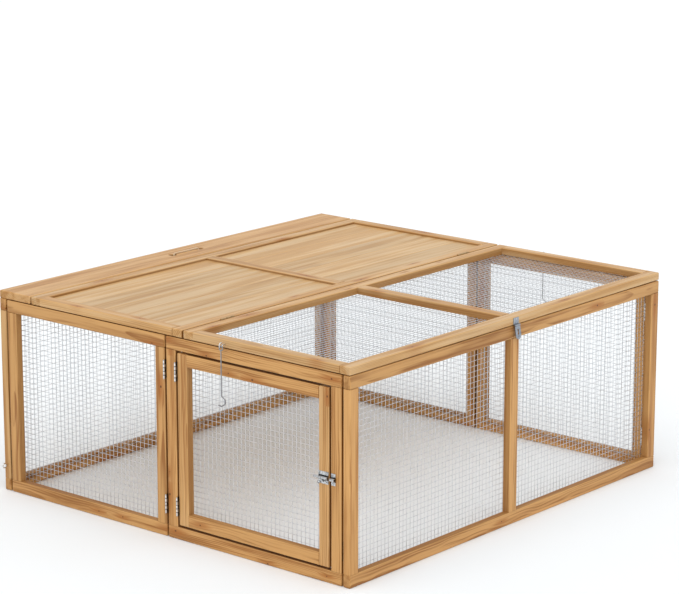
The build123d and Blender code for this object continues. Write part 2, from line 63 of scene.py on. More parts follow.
# Camera: it stands off the front left corner and looks down on the lids, with a long lens.
# Its place and aim were fitted to the pen's outer corners in the 679 by 594 photograph.
CAMERA_AT = (-4.750, -4.0645, 1.9733)
CAMERA_YAW = np.radians(40.43)
CAMERA_PITCH = np.radians(-13.61)
CAMERA_SEES = 300.0
FOCAL_PIXELS = 2644.5
PHOTO_WIDE = 679
SENSOR_MM = 36.0
camera = bpy.data.objects.new("camera", bpy.data.cameras.new("camera"))
camera.data.sensor_width = SENSOR_MM
camera.data.lens = FOCAL_PIXELS * SENSOR_MM / PHOTO_WIDE
camera.data.clip_end = CAMERA_SEES
camera.location = CAMERA_AT
level = np.cos(CAMERA_PITCH)
aim = Vector((level * np.cos(CAMERA_YAW), level * np.sin(CAMERA_YAW), np.sin(CAMERA_PITCH)))
camera.rotation_euler = aim.to_track_quat("-Z", "Y").to_euler()
scene.collection.objects.link(camera)
scene.camera = camera
scene.view_settings.view_transform = "Standard"

# Timber of the rear wall: 20 by 30 mm planed pine, stained honey brown. Two long rails run through, with the
# end stiles and the mid post glued and pinned between them. The fixed roof plank lies on top.
BATTEN = 0.030
TWO_BARS = ((1, 2, 1), (0, BATTEN, 0))
EDGE_SKIN = 0.00005
PINE_EARLY = (0.585, 0.312, 0.106, 1.0)
PINE_LATE = (0.315, 0.126, 0.026, 1.0)
# The two pale tones next are painted light, a stand-in for the sheen on tops and for light on some stiles.
PINE_PAINTED_PALE = (0.605, 0.405, 0.178, 1.0)
PINE_PAINTED_PALE_GREY = (0.610, 0.470, 0.285, 1.0)
PINE_KNOT = (0.070, 0.026, 0.008, 1.0)
PINE_FLAME = (0.360, 0.118, 0.016, 1.0)
# The edge colour next is a painted highlight along the eased edges.
PINE_EDGE_HIGHLIGHT = (0.730, 0.460, 0.195, 1.0)
PINE_END = (0.330, 0.160, 0.052, 1.0)
# The next colour is painted shade on narrow faces in gaps, reveals and recesses.
PINE_SIDE_SHADE = (0.215, 0.082, 0.014, 1.0)
# The next colour is painted shade inside the rope's holes.
PINE_HOLE_SHADE = (0.170, 0.066, 0.014, 1.0)
PINE_GLOSS = 0.3
PINE_BUMP = (0.6, 0.0011)
# Noise in the wood: turns to a metre along and across the grain, the shift from bar to bar, and its detail.
FIBRE = ((14.0, 620.0, 620.0), 11.3, 3.0)
STREAK = ((4.2, 140.0, 140.0), 5.7, 3.0)
BAND = ((2.4, 50.0, 50.0), 3.3, 1.0)
CLOUD = ((4.0, 16.0, 16.0), 2.9, 2.0)
WANDER = ((3.2, 9.0, 9.0), 7.1, 2.0)
SHIFT_WAYS = (1.0, 0.73, 1.31)
SEED_DEPTH = 3.0
NOISE_ROUGH = 0.6
# Faces and edges of a bar: where each share begins and ends, in metres from the face, and its two shares.
ARRIS_WIDE = 0.0024
# The pale edge band is a painted highlight.
EDGE_HIGHLIGHT_SPAN = (0.0003, ARRIS_WIDE, 1.0, 0.0)
END_FACE = (0.0001, 0.0005, 1.0, 0.0)
INNER_FACE = (0.001, 0.002)
NARROW_FACE = (0.0005, 0.0011, 1.0, 0.0)
NARROW_EDGE = (0.0006, 0.0024)
# Knots: at most one in each step of a bar, its place and size by chance as a span and a least value. The dark
# core and the red flame round it are ovals, measured in sizes of the knot.
KNOT_STEP = 0.150
KNOT_ALONG = (0.7, 0.15)
KNOT_ACROSS = (0.8, 0.1)
KNOT_SIZES = (0.0015, 0.0010)
KNOT_RESHUFFLE = 37.0
KNOT_OVAL = 0.55
KNOT_CORE = (0.7, 1.15, 1.0, 0.0)
FLAME_OVAL = 0.05
FLAME_REACH = (0.8, 6.0, 1.0, 0.0)
# Growth rings: how far off the pith is, how much it wanders, and the gap from ring to ring by chance. A ring
# darkens slowly to its late wood and ends sharply. The wave node's rings are RING_TURN apart at a scale of 1.
PITH_ASIDE = 0.07
PITH_DEEP = 0.05
PITH_NEAR = 0.012
PITH_WANDER = 0.016
FLAME_PUSH = 0.0045
RING_TAPER = 0.03
RING_TURN = 0.314
RING_GAPS = (0.0022, 0.0026)
RING_WAVER = {"Distortion": 1.4, "Detail": 2.0, "Detail Scale": 0.4}
RING_KIND = {"wave_type": "RINGS", "rings_direction": "X", "wave_profile": "SAW"}
LATE_RISE = (0.25, 0.93)
LATE_DROP = (0.95, 1.0, 1.0, 0.0)
# Shares of the colours, the roughness and the height that the patterns give.
LATE_STREAKED = (0.25, 0.75, 0.25, 0.95)
STREAK_DARK = (0.46, 0.72, 0.0, 0.50)
BAND_DARK = (0.32, 0.70, -0.36, 0.52)
BAND_PALE_GREY = (0.34, 0.62, 0.9, 0.0)
FIBRE_DARK = 0.55
PAINTED_PALE_CLEARS = -0.72
BAR_TONES = (0.16, 0.82)
CLOUD_TONE = 0.24
EDGE_HIGHLIGHT_SHARE = 0.46
FLAME_SHARES = (0.8, 0.3)
KNOT_SHARE = 0.9
END_SHARES = (0.35, 0.15)
FIBRE_ROUGH = (0.18, 0.30)
END_ROUGH = 0.2
SIDE_SHADE_ROUGH = 0.40
FIBRE_LIFT = 0.10
LATE_LIFT = 0.05
KNOT_SINK = 0.1
ARRIS_LIFT = 0.15
# Painted shade on the narrow faces, as shares inside the frame and on its outside, and painted shade
# inside the rope's holes.
OPEN_SIDE = (0.35, 0.0)
POST_SIDES = (0.0, 0.35)
ROPE_HOLES_X = (-0.046, 0.052)
ROPE_Y = 0.4988
HOLE_SHADE_SPAN = (0.0094, 0.0122, 0.6, 0.0)


def node_tools(tree):
    """Short ways to fill a shader tree. Add makes a node from its settings and inputs, and links the inputs
    that are sockets. The others make one sum, step or mix and give back its result."""

    def add(kind, inputs=None, **settings):
        node = tree.nodes.new(kind)
        for key, value in settings.items():
            setattr(node, key, value)
        for socket, value in (inputs or {}).items():
            if isinstance(value, bpy.types.NodeSocket):
                tree.links.new(value, node.inputs[socket])
            else:
                node.inputs[socket].default_value = value
        return node

    def math(operation, *values):
        return add("ShaderNodeMath", dict(enumerate(values)), operation=operation).outputs[0]

    def vector(operation, *values):
        return add("ShaderNodeVectorMath", dict(enumerate(values)), operation=operation).outputs[0]

    def ramp(value, low, high, to_low=0.0, to_high=1.0):
        span = {0: value, 1: low, 2: high, 3: to_low, 4: to_high}
        return add("ShaderNodeMapRange", span, interpolation_type="SMOOTHSTEP").outputs[0]

    def mix(share, first, second, blend="MIX"):
        parts = {0: share, 6: first, 7: second}
        return add("ShaderNodeMix", parts, data_type="RGBA", blend_type=blend).outputs[2]

    return add, math, vector, ramp, mix


def new_material(name):
    """A shader tree with one principled shader on its output, given back with the tools to fill it."""
    material = bpy.data.materials.new(name)
    material.use_nodes = True
    material.node_tree.nodes.clear()
    tools = node_tools(material.node_tree)
    shader = tools[0]("ShaderNodeBsdfPrincipled")
    tools[0]("ShaderNodeOutputMaterial", {0: shader.outputs[0]})
    return material, shader, tools


def finish_material(material, shader, colour, roughness, height, strength, distance):
    """Wires the worked-out colour and roughness into the shader, and a height in through a bump."""
    links = material.node_tree.links
    bump = material.node_tree.nodes.new("ShaderNodeBump")
    bump.inputs["Strength"].default_value = strength
    bump.inputs["Distance"].default_value = distance
    links.new(height, bump.inputs["Height"])
    links.new(bump.outputs[0], shader.inputs["Normal"])
    links.new(colour, shader.inputs["Base Color"])
    links.new(roughness, shader.inputs["Roughness"])
    return material


def pine_group():
    """Solid pine for bars whose grain runs along the first axis. Growth rings are circles round a pith beside
    the bar, bent by slow noise and swept round each knot. Each bar, told by whole steps of the pitch, has its
    own cut, tone and knots. Its long edges carry a painted highlight, and its height falls away towards them.
    The painted pale tone, which stands in for the sheen on tops and for light on some stiles, shows less dark
    grain and is greyer in bands. The narrow faces carry painted shade, as in gaps, reveals and recesses, by
    one share inside the frame and another on its outside."""
    group = bpy.data.node_groups.new("pine_wood", "ShaderNodeTree")
    for name in ("Grain", "Low", "Pitch", "Size", "Whole"):
        group.interface.new_socket(name, in_out="INPUT", socket_type="NodeSocketVector")
    for name in ("Seed", "Knots", "Washed", "Inside", "Outside"):
        group.interface.new_socket(name, in_out="INPUT", socket_type="NodeSocketFloat")
    group.interface.new_socket("Color", in_out="OUTPUT", socket_type="NodeSocketColor")
    for name in ("Roughness", "Height"):
        group.interface.new_socket(name, in_out="OUTPUT", socket_type="NodeSocketFloat")
    add, math, vector, ramp, mix = node_tools(group)

    # Short ways: a vector's three parts, a vector from parts, three chances drawn from a place, and noise at
    # a bar's own place, stretched by its turns and moved on by its shift.
    def parts(socket):
        return add("ShaderNodeSeparateXYZ", {0: socket}).outputs

    def joined(x, y, z):
        return add("ShaderNodeCombineXYZ", {0: x, 1: y, 2: z}).outputs[0]

    def chances(socket):
        drawn = add("ShaderNodeTexWhiteNoise", {"Vector": socket}, noise_dimensions="3D")
        return parts(drawn.outputs["Color"])

    def noise(turns, shift, detail):
        apart = vector("MULTIPLY", key, tuple(shift * way for way in SHIFT_WAYS))
        moved = vector("MULTIPLY_ADD", local, turns, apart)
        pattern = {"Vector": moved, "Scale": 1.0, "Detail": detail, "Roughness": NOISE_ROUGH}
        return add("ShaderNodeTexNoise", pattern)

    # The bar that a point is in, its place there, and the bar's own three chances.
    given = add("NodeGroupInput").outputs
    from_low = vector("SUBTRACT", given["Grain"], given["Low"])
    cell = vector("FLOOR", vector("DIVIDE", from_low, given["Pitch"]))
    local = vector("SUBTRACT", from_low, vector("MULTIPLY", cell, given["Pitch"]))
    key = vector("ADD", cell, joined(given["Seed"], given["Seed"], SEED_DEPTH))
    chance = chances(key)
    here = parts(local)
    size = parts(given["Size"])

    # Painted highlights on the edges, ends, and painted shade on the narrow faces, from the distance to the
    # nearest face each way.
    inside = parts(vector("MINIMUM", local, vector("SUBTRACT", given["Size"], local)))
    from_arris = math("MAXIMUM", inside[1], inside[2])
    edge_highlight = ramp(from_arris, *EDGE_HIGHLIGHT_SPAN)
    rounding = ramp(from_arris, 0.0, ARRIS_WIDE)
    end = ramp(inside[0], *END_FACE)
    beside = parts(vector("MINIMUM", from_low, vector("SUBTRACT", given["Whole"], from_low)))[1]
    more_inside = math("SUBTRACT", given["Inside"], given["Outside"])
    shade_share = math("MULTIPLY_ADD", ramp(beside, *INNER_FACE), more_inside, given["Outside"])
    narrow = math("MULTIPLY", ramp(inside[1], *NARROW_FACE), ramp(inside[2], *NARROW_EDGE))
    side_shade = math("MULTIPLY", narrow, shade_share)

    # Knots and their flames, as ovals round a place drawn for each step of the bar.
    step = math("FLOOR", math("ADD", math("DIVIDE", here[0], KNOT_STEP), chance[0]))
    luck = chances(joined(step, chance[1], chance[2]))
    knot_at = math("ADD", step, math("MULTIPLY_ADD", luck[0], *KNOT_ALONG))
    knot_at = math("MULTIPLY", math("SUBTRACT", knot_at, chance[0]), KNOT_STEP)
    knot_across = math("MULTIPLY", size[1], math("MULTIPLY_ADD", luck[1], *KNOT_ACROSS))
    off_long = math("POWER", math("SUBTRACT", here[0], knot_at), 2.0)
    off_wide = math("POWER", math("SUBTRACT", here[1], knot_across), 2.0)
    off = math("SQRT", math("MULTIPLY_ADD", off_long, KNOT_OVAL, off_wide))
    spread = math("SQRT", math("MULTIPLY_ADD", off_long, FLAME_OVAL, off_wide))
    there = math("LESS_THAN", luck[2], given["Knots"])
    redrawn = math("FRACT", math("MULTIPLY", luck[2], KNOT_RESHUFFLE))
    knot_size = math("MULTIPLY_ADD", redrawn, *KNOT_SIZES)
    knot = math("MULTIPLY", there, ramp(math("DIVIDE", off, knot_size), *KNOT_CORE))
    flame = math("MULTIPLY", there, ramp(math("DIVIDE", spread, knot_size), *FLAME_REACH))

    # Growth rings round the pith, pushed aside by the flames.
    wander = parts(noise(*WANDER).outputs["Color"])
    pith_wide = math("MULTIPLY", math("SUBTRACT", chance[1], 0.5), PITH_ASIDE)
    pith_wide = math("MULTIPLY_ADD", wander[1], PITH_WANDER, pith_wide)
    pith_deep = math("MULTIPLY_ADD", wander[2], PITH_WANDER, PITH_NEAR)
    pith_deep = math("MULTIPLY_ADD", chance[2], PITH_DEEP, pith_deep)
    ring_long = math("MULTIPLY", here[0], RING_TAPER)
    ring_wide = math("ADD", math("ADD", here[1], pith_wide), math("MULTIPLY", flame, FLAME_PUSH))
    ring_place = joined(ring_long, ring_wide, math("ADD", here[2], pith_deep))
    ring_scale = math("DIVIDE", RING_TURN, math("MULTIPLY_ADD", chance[0], *RING_GAPS))
    wave = {"Vector": ring_place, "Scale": ring_scale, **RING_WAVER}
    rings = add("ShaderNodeTexWave", wave, **RING_KIND).outputs["Fac"]
    late = math("MULTIPLY", ramp(rings, *LATE_RISE), ramp(rings, *LATE_DROP))

    # Colour: early wood darkened by rings, streaks, bands and fibres, then painted edge highlights, knots,
    # ends and painted shade on the narrow faces.
    fibre = noise(*FIBRE).outputs["Fac"]
    streak = noise(*STREAK).outputs["Fac"]
    band = noise(*BAND).outputs["Fac"]
    cloud = noise(*CLOUD).outputs["Fac"]
    dark = math("MULTIPLY", late, ramp(streak, *LATE_STREAKED))
    dark = math("ADD", dark, ramp(streak, *STREAK_DARK))
    dark = math("ADD", dark, ramp(band, *BAND_DARK))
    dark = math("ADD", dark, math("MULTIPLY", math("SUBTRACT", fibre, 0.5), FIBRE_DARK))
    dark = math("MINIMUM", math("MAXIMUM", dark, 0.0), 1.0)
    # Painted pale tone: less dark grain and a paler, greyer colour, standing in for sheen on tops and light
    # on some stiles.
    dark = math("MULTIPLY", dark, math("MULTIPLY_ADD", given["Washed"], PAINTED_PALE_CLEARS, 1.0))
    pale_tint = mix(ramp(band, *BAND_PALE_GREY), PINE_PAINTED_PALE, PINE_PAINTED_PALE_GREY)
    tint = mix(dark, mix(given["Washed"], PINE_EARLY, pale_tint), PINE_LATE)
    tone = math("ADD", math("MULTIPLY_ADD", chance[1], *BAR_TONES), math("MULTIPLY", cloud, CLOUD_TONE))
    tone = add("ShaderNodeCombineColor", {0: tone, 1: tone, 2: tone}).outputs[0]
    tint = mix(1.0, tint, tone, "MULTIPLY")
    tint = mix(math("MULTIPLY", edge_highlight, EDGE_HIGHLIGHT_SHARE), tint, PINE_EDGE_HIGHLIGHT)
    tint = mix(math("MULTIPLY", flame, math("MULTIPLY_ADD", streak, *FLAME_SHARES)), tint, PINE_FLAME)
    tint = mix(math("MULTIPLY", knot, KNOT_SHARE), tint, PINE_KNOT)
    tint = mix(math("MULTIPLY", end, math("MULTIPLY_ADD", late, *END_SHARES)), tint, PINE_END)
    tint = mix(side_shade, tint, PINE_SIDE_SHADE)

    # Roughness and height: raised fibres and late wood, sunk knots, eased edges.
    rough = math("ADD", math("MULTIPLY_ADD", fibre, *FIBRE_ROUGH), math("MULTIPLY", end, END_ROUGH))
    rough = math("MULTIPLY_ADD", side_shade, SIDE_SHADE_ROUGH, rough)
    height = math("MULTIPLY_ADD", fibre, FIBRE_LIFT, math("MULTIPLY", late, LATE_LIFT))
    height = math("SUBTRACT", height, math("MULTIPLY", knot, KNOT_SINK))
    height = math("MULTIPLY_ADD", rounding, ARRIS_LIFT, height)
    add("NodeGroupOutput", {"Color": tint, "Roughness": rough, "Height": height})
    return group


pine_wood = pine_group()
timber_seed = iter(range(1, len(cad) + 1))


def dress(node, material):
    """Puts a material into a solid's own material slots."""
    for holder in cad[node].material_slots:
        holder.material = material


def pine(node, order, bars=(1, 1, 1), bar=None, knots=0.4, painted_pale=0.0, side_shade=(0.0, 0.0), holes=()):
    """Pine on a node: order names its axes as grain, width and depth, bars how many stand in a row along each
    of these, and bar their size there. The pitch is the rest of the node's length shared between them. The
    narrow faces take shares of painted shade inside and outside the frame, and the wood takes a share of the
    painted pale tone, a stand-in for sheen on tops and light on some stiles. Upright holes get painted shade
    inside their mouths, fading out with the distance from their axis."""
    picked = ["xyz".index(letter) for letter in order]
    low, high = (np.array(corner)[picked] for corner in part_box(node))
    whole = high - low
    size = np.array([whole[k] if bars[k] == 1 else bar[k] for k in range(3)])
    pitch = [2 * whole[k] if bars[k] == 1 else (whole[k] - size[k]) / (bars[k] - 1) for k in range(3)]
    material, shader, (add, math, vector, ramp, mix) = new_material(f"pine_{node}")
    split = add("ShaderNodeSeparateXYZ", {0: add("ShaderNodeTexCoord").outputs["Object"]}).outputs
    grain = add("ShaderNodeCombineXYZ", {k: split[picked[k]] for k in range(3)}).outputs[0]
    inputs = {
        "Grain": grain,
        "Low": low - EDGE_SKIN,
        "Pitch": pitch,
        "Size": size,
        "Whole": whole,
        "Seed": next(timber_seed),
        "Knots": knots,
        "Washed": painted_pale,
        "Inside": side_shade[0],
        "Outside": side_shade[1],
    }
    wood = add("ShaderNodeGroup", inputs, node_tree=pine_wood)
    shader.inputs["Specular IOR Level"].default_value = PINE_GLOSS
    tint = wood.outputs["Color"]
    # Painted shade inside the rope's holes, fading out with the distance from their axis.
    for x, y in holes:
        off_x = math("POWER", math("SUBTRACT", split[0], x), 2.0)
        off_y = math("POWER", math("SUBTRACT", split[1], y), 2.0)
        hole_shade = ramp(math("SQRT", math("ADD", off_x, off_y)), *HOLE_SHADE_SPAN)
        tint = mix(hole_shade, tint, PINE_HOLE_SHADE)
    rough = wood.outputs["Roughness"]
    dress(node, finish_material(material, shader, tint, rough, wood.outputs["Height"], *PINE_BUMP))


pine("rear_rails", "xzy", *TWO_BARS, side_shade=OPEN_SIDE)
# The rear stiles and the top plank get some of the painted pale tone, which is painted light.
pine("rear_stiles", "zxy", *TWO_BARS, painted_pale=0.25, side_shade=OPEN_SIDE)
pine("rear_mid_post", "zxy", side_shade=POST_SIDES)
rope_holes = [(x, ROPE_Y) for x in ROPE_HOLES_X]
pine("top_plank", "xyz", knots=0.3, painted_pale=0.28, holes=rope_holes)

# Timber of the side panels: each side is a rear and a front panel of the same stock, two rails with two
# stiles between them. The front panel on the left has the door in place of a net.
# Shares of painted shade on the narrow faces beside the gaps, inside the frame and on its outside.
GAP_SIDE = (0.35, 0.9)
DOOR_SIDES = (0.9, 0.9)
for panel in ("left_rear", "left_front", "right_rear", "right_front"):
    sides = DOOR_SIDES if panel == "left_front" else GAP_SIDE
    pine(f"{panel}_rails", "yzx", *TWO_BARS, side_shade=sides)
    pine(f"{panel}_stiles", "zyx", *TWO_BARS, side_shade=sides)

# Timber of the door: the same stock, two stiles that run through, with two rails glued between them.
# It hangs in the left front panel with an even gap all round.
# The door stiles get some of the painted pale tone, which is painted light.
pine("door_stiles", "zyx", *TWO_BARS, painted_pale=0.2, side_shade=GAP_SIDE)
pine("door_rails", "yzx", *TWO_BARS, side_shade=GAP_SIDE)

# Timber of the front wall: two long rails that run through, with two stiles and a mid post between them, as
# in the rear wall.
pine("front_rails", "xzy", *TWO_BARS, side_shade=OPEN_SIDE)
pine("front_stiles", "zxy", *TWO_BARS, side_shade=OPEN_SIDE)
pine("front_mid_post", "zxy", side_shade=POST_SIDES)

# Timber of the lids: both have two long rails and three cross rails, in a painted pale tone that stands in
# for the sheen on their tops. The boarded lid is closed by two bays of five thin boards each, let in below
# the face of the rails.
BOARDS = 5
THREE_BARS = ((1, 3, 1), (0, BATTEN, 0))
# Shares of painted shade on the lids' narrow faces, over the recessed boards and beside the plank's gap.
BAY_SIDE = (0.55, 0.0)
BAY_GAP_SIDE = (0.55, 0.9)
board_low, board_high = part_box("solid_lid_boards")
board_wide = (board_high[1] - board_low[1]) / BOARDS
board_long = (board_high[0] - board_low[0] - BATTEN) / 2
for lid, along, across in (("solid_lid", BAY_GAP_SIDE, BAY_SIDE), ("mesh_lid", OPEN_SIDE, OPEN_SIDE)):
    pine(f"{lid}_long_rails", "xyz", *TWO_BARS, painted_pale=0.5, side_shade=along)
    pine(f"{lid}_cross_rails", "yxz", *THREE_BARS, painted_pale=0.4, side_shade=across)
pine("solid_lid_boards", "xyz", (2, BOARDS, 1), (board_long, board_wide, 0), knots=0.0, painted_pale=0.7)

# Wire nets: welded half-inch mesh of galvanised wire, one layer of straight wires on the other, cut to size
# and stapled to the inner face of each frame. The lid's net lies in a rebate under its rails.
WIRE = 0.00105
WIRE_SIDES = 6
WIRE_SPANS = 8
MESH_PITCH = 0.0127
MESH_SEED = 7
MESH_SWAY = 0.00025
MESH_BULGE = 0.0004
WELD_SINK = 0.12
SLOW_WAVES = (5.1, 3.7)
QUICK_WAVES = (11.0, 8.3)
QUICK_SHARE = 0.6
STAPLE_STEP = 0.085
STAPLE_LONG = 0.0085
STAPLE_WIRE = 0.0011
STAPLE_BEND = 0.0010
STAPLE_SINK = 0.4
STAPLE_SHOULDER = 0.8
STAPLE_LAP = 0.005
CORNER_LAP = 0.001
MID_ROW_FROM = 1.0
NETS = {
    "rear_net": "rear_wall",
    "left_rear_net": "left_rear_panel",
    "right_rear_net": "right_rear_panel",
    "right_front_net": "right_front_panel",
    "front_net": "front_wall",
    "door_net": "door",
    "mesh_lid_net": "net_lid",
}
WIRE_BRIGHT = (0.76, 0.78, 0.81, 1.0)
WIRE_DULL = (0.54, 0.57, 0.61, 1.0)
WIRE_ROUGH = 0.40
FLAKE_SCALE = 420.0
FLAKE_SHARE = 0.35
PATCH_STEP = (0.45, 0.7)
PATCH_DETAIL = 4.0
PATCH_ROUGH = 0.25
PATCH_ROUGH_MID = 0.12
SCRATCH_TURNS = (900.0, 2600.0, 260.0)
SCRATCH_DETAIL = 2.0
SCRATCH_ROUGH = 0.1
METAL_BUMP = (0.12, 0.0002)


def new_piece(name, points, faces, material, body, slot):
    """A mesh piece from an array of points and rows of corner numbers, shaded smooth, riding on a body."""
    mesh = bpy.data.meshes.new(name)
    mesh.from_pydata(points.reshape(-1, 3).tolist(), [], faces)
    mesh.materials.append(material)
    mesh.polygons.foreach_set("use_smooth", np.ones(len(mesh.polygons), dtype=bool))
    piece = bpy.data.objects.new(name, mesh)
    scene.collection.objects.link(piece)
    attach(piece, body)
    return piece


def gather(shapes):
    """Several point and face sets as one, with the corner numbers of each moved on past those before it."""
    starts = np.cumsum([0] + [len(shape[0]) for shape in shapes])
    faces = [[corner + start for corner in face] for start, shape in zip(starts, shapes) for face in shape[1]]
    return np.concatenate([shape[0] for shape in shapes]), faces


def galvanised(name, bright, dull, rough, patches=120.0, share=0.6):
    """Zinc on steel: flakes of crystal from cells, cloudy dull patches, and fine scratches along one way."""
    material, shader, (add, math, vector, ramp, mix) = new_material(name)
    place = add("ShaderNodeTexCoord").outputs["Object"]
    flake = add("ShaderNodeTexVoronoi", {"Vector": place, "Scale": FLAKE_SCALE}).outputs["Color"]
    flake = add("ShaderNodeSeparateColor", {0: flake}).outputs[0]
    cloud = {"Vector": place, "Scale": patches, "Detail": PATCH_DETAIL}
    cloud = add("ShaderNodeTexNoise", cloud).outputs["Fac"]
    scratch = {"Vector": vector("MULTIPLY", place, SCRATCH_TURNS), "Scale": 1.0, "Detail": SCRATCH_DETAIL}
    scratch = add("ShaderNodeTexNoise", scratch).outputs["Fac"]
    dulled = math("MULTIPLY_ADD", flake, FLAKE_SHARE, ramp(cloud, *PATCH_STEP, 0.0, share))
    tint = mix(dulled, bright, dull)
    worn = math("MULTIPLY_ADD", cloud, PATCH_ROUGH, rough - PATCH_ROUGH_MID)
    worn = math("ADD", worn, math("MULTIPLY", scratch, SCRATCH_ROUGH))
    shader.inputs["Metallic"].default_value = 1.0
    return finish_material(material, shader, tint, worn, math("ADD", scratch, flake), *METAL_BUMP)


def tube_faces(index):
    """Faces of tubes whose corner numbers stand in rings: squares from ring to ring, and both ends closed."""
    near, far = index[..., :-1, :], index[..., 1:, :]
    squares = np.stack([near, np.roll(near, -1, -1), np.roll(far, -1, -1), far], axis=-1).reshape(-1, 4)
    sides = index.shape[-1]
    starts = index[..., 0, ::-1].reshape(-1, sides)
    ends = index[..., -1, :].reshape(-1, sides)
    return squares.tolist() + starts.tolist() + ends.tolist()


def unit(vectors):
    """The same vectors with a length of one, each divided by its own length."""
    return vectors / np.linalg.norm(vectors, axis=-1, keepdims=True)


def bars_along(paths, aside, radius):
    """Round bars, one to a row of points: each point carries a ring of corners a radius away, square to the
    way from the point before it to the one after it."""
    along = unit(np.gradient(paths, axis=1))[:, :, None]
    turn = ((np.arange(WIRE_SIDES) + 0.5) * 2 * np.pi / WIRE_SIDES)[:, None]
    ring = np.cos(turn) * np.asarray(aside) + np.sin(turn) * np.cross(along, aside)
    points = paths[:, :, None] + radius * ring
    index = np.arange(points[..., 0].size).reshape(points.shape[:3])
    return points.reshape(-1, 3), tube_faces(index)


def staples(middles, length_way, out):
    """Wire staples over the net: up from the wood, across and down again, with a slope at each corner."""
    half = STAPLE_LONG / 2
    inner = half - STAPLE_BEND
    lift = 2 * WIRE + STAPLE_WIRE / 2
    rising = [(-half, -STAPLE_SINK), (-half, STAPLE_SHOULDER), (-inner, 1.0)]
    side = np.array(rising + [(-x, z) for x, z in reversed(rising)])
    shape = side[:, :1] * length_way + side[:, 1:] * lift * out
    return bars_along(middles[:, None] + shape, np.cross(out, length_way), STAPLE_WIRE / 2)


def uneven(u, v, phase):
    """A slow wave over a sheet that fades to nothing at its edges: two products of sines, with u and v
    running from 0 to 1."""
    slow = np.sin(SLOW_WAVES[0] * u + phase[0]) * np.sin(SLOW_WAVES[1] * v + phase[1])
    quick = QUICK_SHARE * np.sin(QUICK_WAVES[0] * u + phase[2]) * np.sin(QUICK_WAVES[1] * v + phase[3])
    return (slow + quick) * np.sqrt(np.clip(4 * u * (1 - u) * 4 * v * (1 - v), 0.0, 1.0))


def wire_layer(low, high, way, across, thin, base, step, phase):
    """One layer of wires a pitch apart, run along one side of a box and bowed a little in and across it."""
    wide = high[across] - low[across]
    count = int((wide - WIRE) / MESH_PITCH)
    places = 0.5 + MESH_PITCH * (np.arange(count + 1) - count / 2) / wide
    u, v = np.meshgrid(np.linspace(0.0, 1.0, WIRE_SPANS + 1), places)
    first, second = (u, v) if way < across else (v, u)
    paths = np.zeros((count + 1, WIRE_SPANS + 1, 3))
    paths[..., way] = low[way] + u * (high[way] - low[way])
    paths[..., across] = low[across] + v * wide + MESH_SWAY * uneven(first, second, phase[0])
    paths[..., thin] = base + step * MESH_BULGE * np.abs(uneven(first, second, phase[1]))
    return bars_along(paths, np.eye(3)[across], WIRE / 2)


net_wire = galvanised("galvanised_wire", WIRE_BRIGHT, WIRE_DULL, WIRE_ROUGH)
sway_draw = np.random.default_rng(MESH_SEED)
for net, body in NETS.items():
    low, high = (np.array(corner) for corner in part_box(net))
    thin = int(np.argmin(high - low))
    flat = [axis for axis in range(3) if axis != thin]
    step = -np.sign((low + high)[thin])
    face = high[thin] if step < 0 else low[thin]
    phase = sway_draw.uniform(0.0, 2 * np.pi, (2, 4))
    shapes = []
    for layer, (way, across) in enumerate((flat, flat[::-1])):
        base = face + step * WIRE * (0.5 + layer * (1 - WELD_SINK))
        shapes.append(wire_layer(low, high, way, across, thin, base, step, phase))
    for way, across in (flat, flat[::-1]):
        lap = CORNER_LAP if net in ("rear_net", "front_net") and across == 0 else STAPLE_LAP
        rows = [low[across] + lap, high[across] - lap]
        # A long net is stapled to the bar across its middle too.
        if high[across] - low[across] > MID_ROW_FROM:
            rows.append((low[across] + high[across]) / 2)
        count = int((high[way] - low[way]) / STAPLE_STEP)
        middles = np.zeros((len(rows), count, 3))
        middles[..., way] = low[way] + (np.arange(count) + 0.5) * (high[way] - low[way]) / count
        middles[..., across] = np.array(rows)[:, None]
        middles[..., thin] = face
        shapes.append(staples(middles.reshape(-1, 3), np.eye(3)[way], step * np.eye(3)[thin]))
    netting = new_piece(net.replace("_net", "_wire_mesh"), *gather(shapes), net_wire, body, "wire_net")
    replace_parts(netting, net)

# Hinges and eyes: zinc-plated butt hinges closed in the gaps with their knuckles standing out, brassed ones
# on the lids, and wire eyes screwed into the ends of the net lid and of the rear wall.
HINGE_TALL = 0.044
HINGE_LEVELS = (0.080, 0.400)
KNUCKLES = 5
KNUCKLE_TALL = HINGE_TALL / KNUCKLES
# The dark joint rings and tongues on the upright hinges are painted shade and grease in one colour.
JOINT_DARK = (0.0005, 0.0016, 0.75, 0.0)
TONGUE_FROM = (0.580, 0.585)
TONGUE_TO = (0.5917, 0.5927, 0.92, 0.0)
GREASE_AND_SHADE = (0.020, 0.016, 0.012, 1.0)
ZINC_BRIGHT = (0.86, 0.86, 0.86, 1.0)
ZINC_DULL = (0.42, 0.43, 0.44, 1.0)
ZINC_ROUGH = 0.28
LEAF_BRIGHT = (0.88, 0.87, 0.86, 1.0)
LEAF_DULL = (0.46, 0.46, 0.46, 1.0)
LEAF_ROUGH = 0.26
BRASS_BRIGHT = (0.62, 0.45, 0.25, 1.0)
BRASS_DULL = (0.40, 0.27, 0.13, 1.0)
BRASS_ROUGH = 0.32


def with_shade_and_grease(material, share):
    """Painted shade and old grease over a finished material: its colour is mixed with a dark brown by a
    share, which a function works out from the place on the piece."""
    tree = material.node_tree
    add, math, vector, ramp, mix = node_tools(tree)
    colour = next(node for node in tree.nodes if node.type == "BSDF_PRINCIPLED").inputs["Base Color"]
    place = add("ShaderNodeSeparateXYZ", {0: add("ShaderNodeTexCoord").outputs["Object"]}).outputs
    tree.links.new(mix(share(place, math, ramp), colour.links[0].from_socket, GREASE_AND_SHADE), colour)
    return material


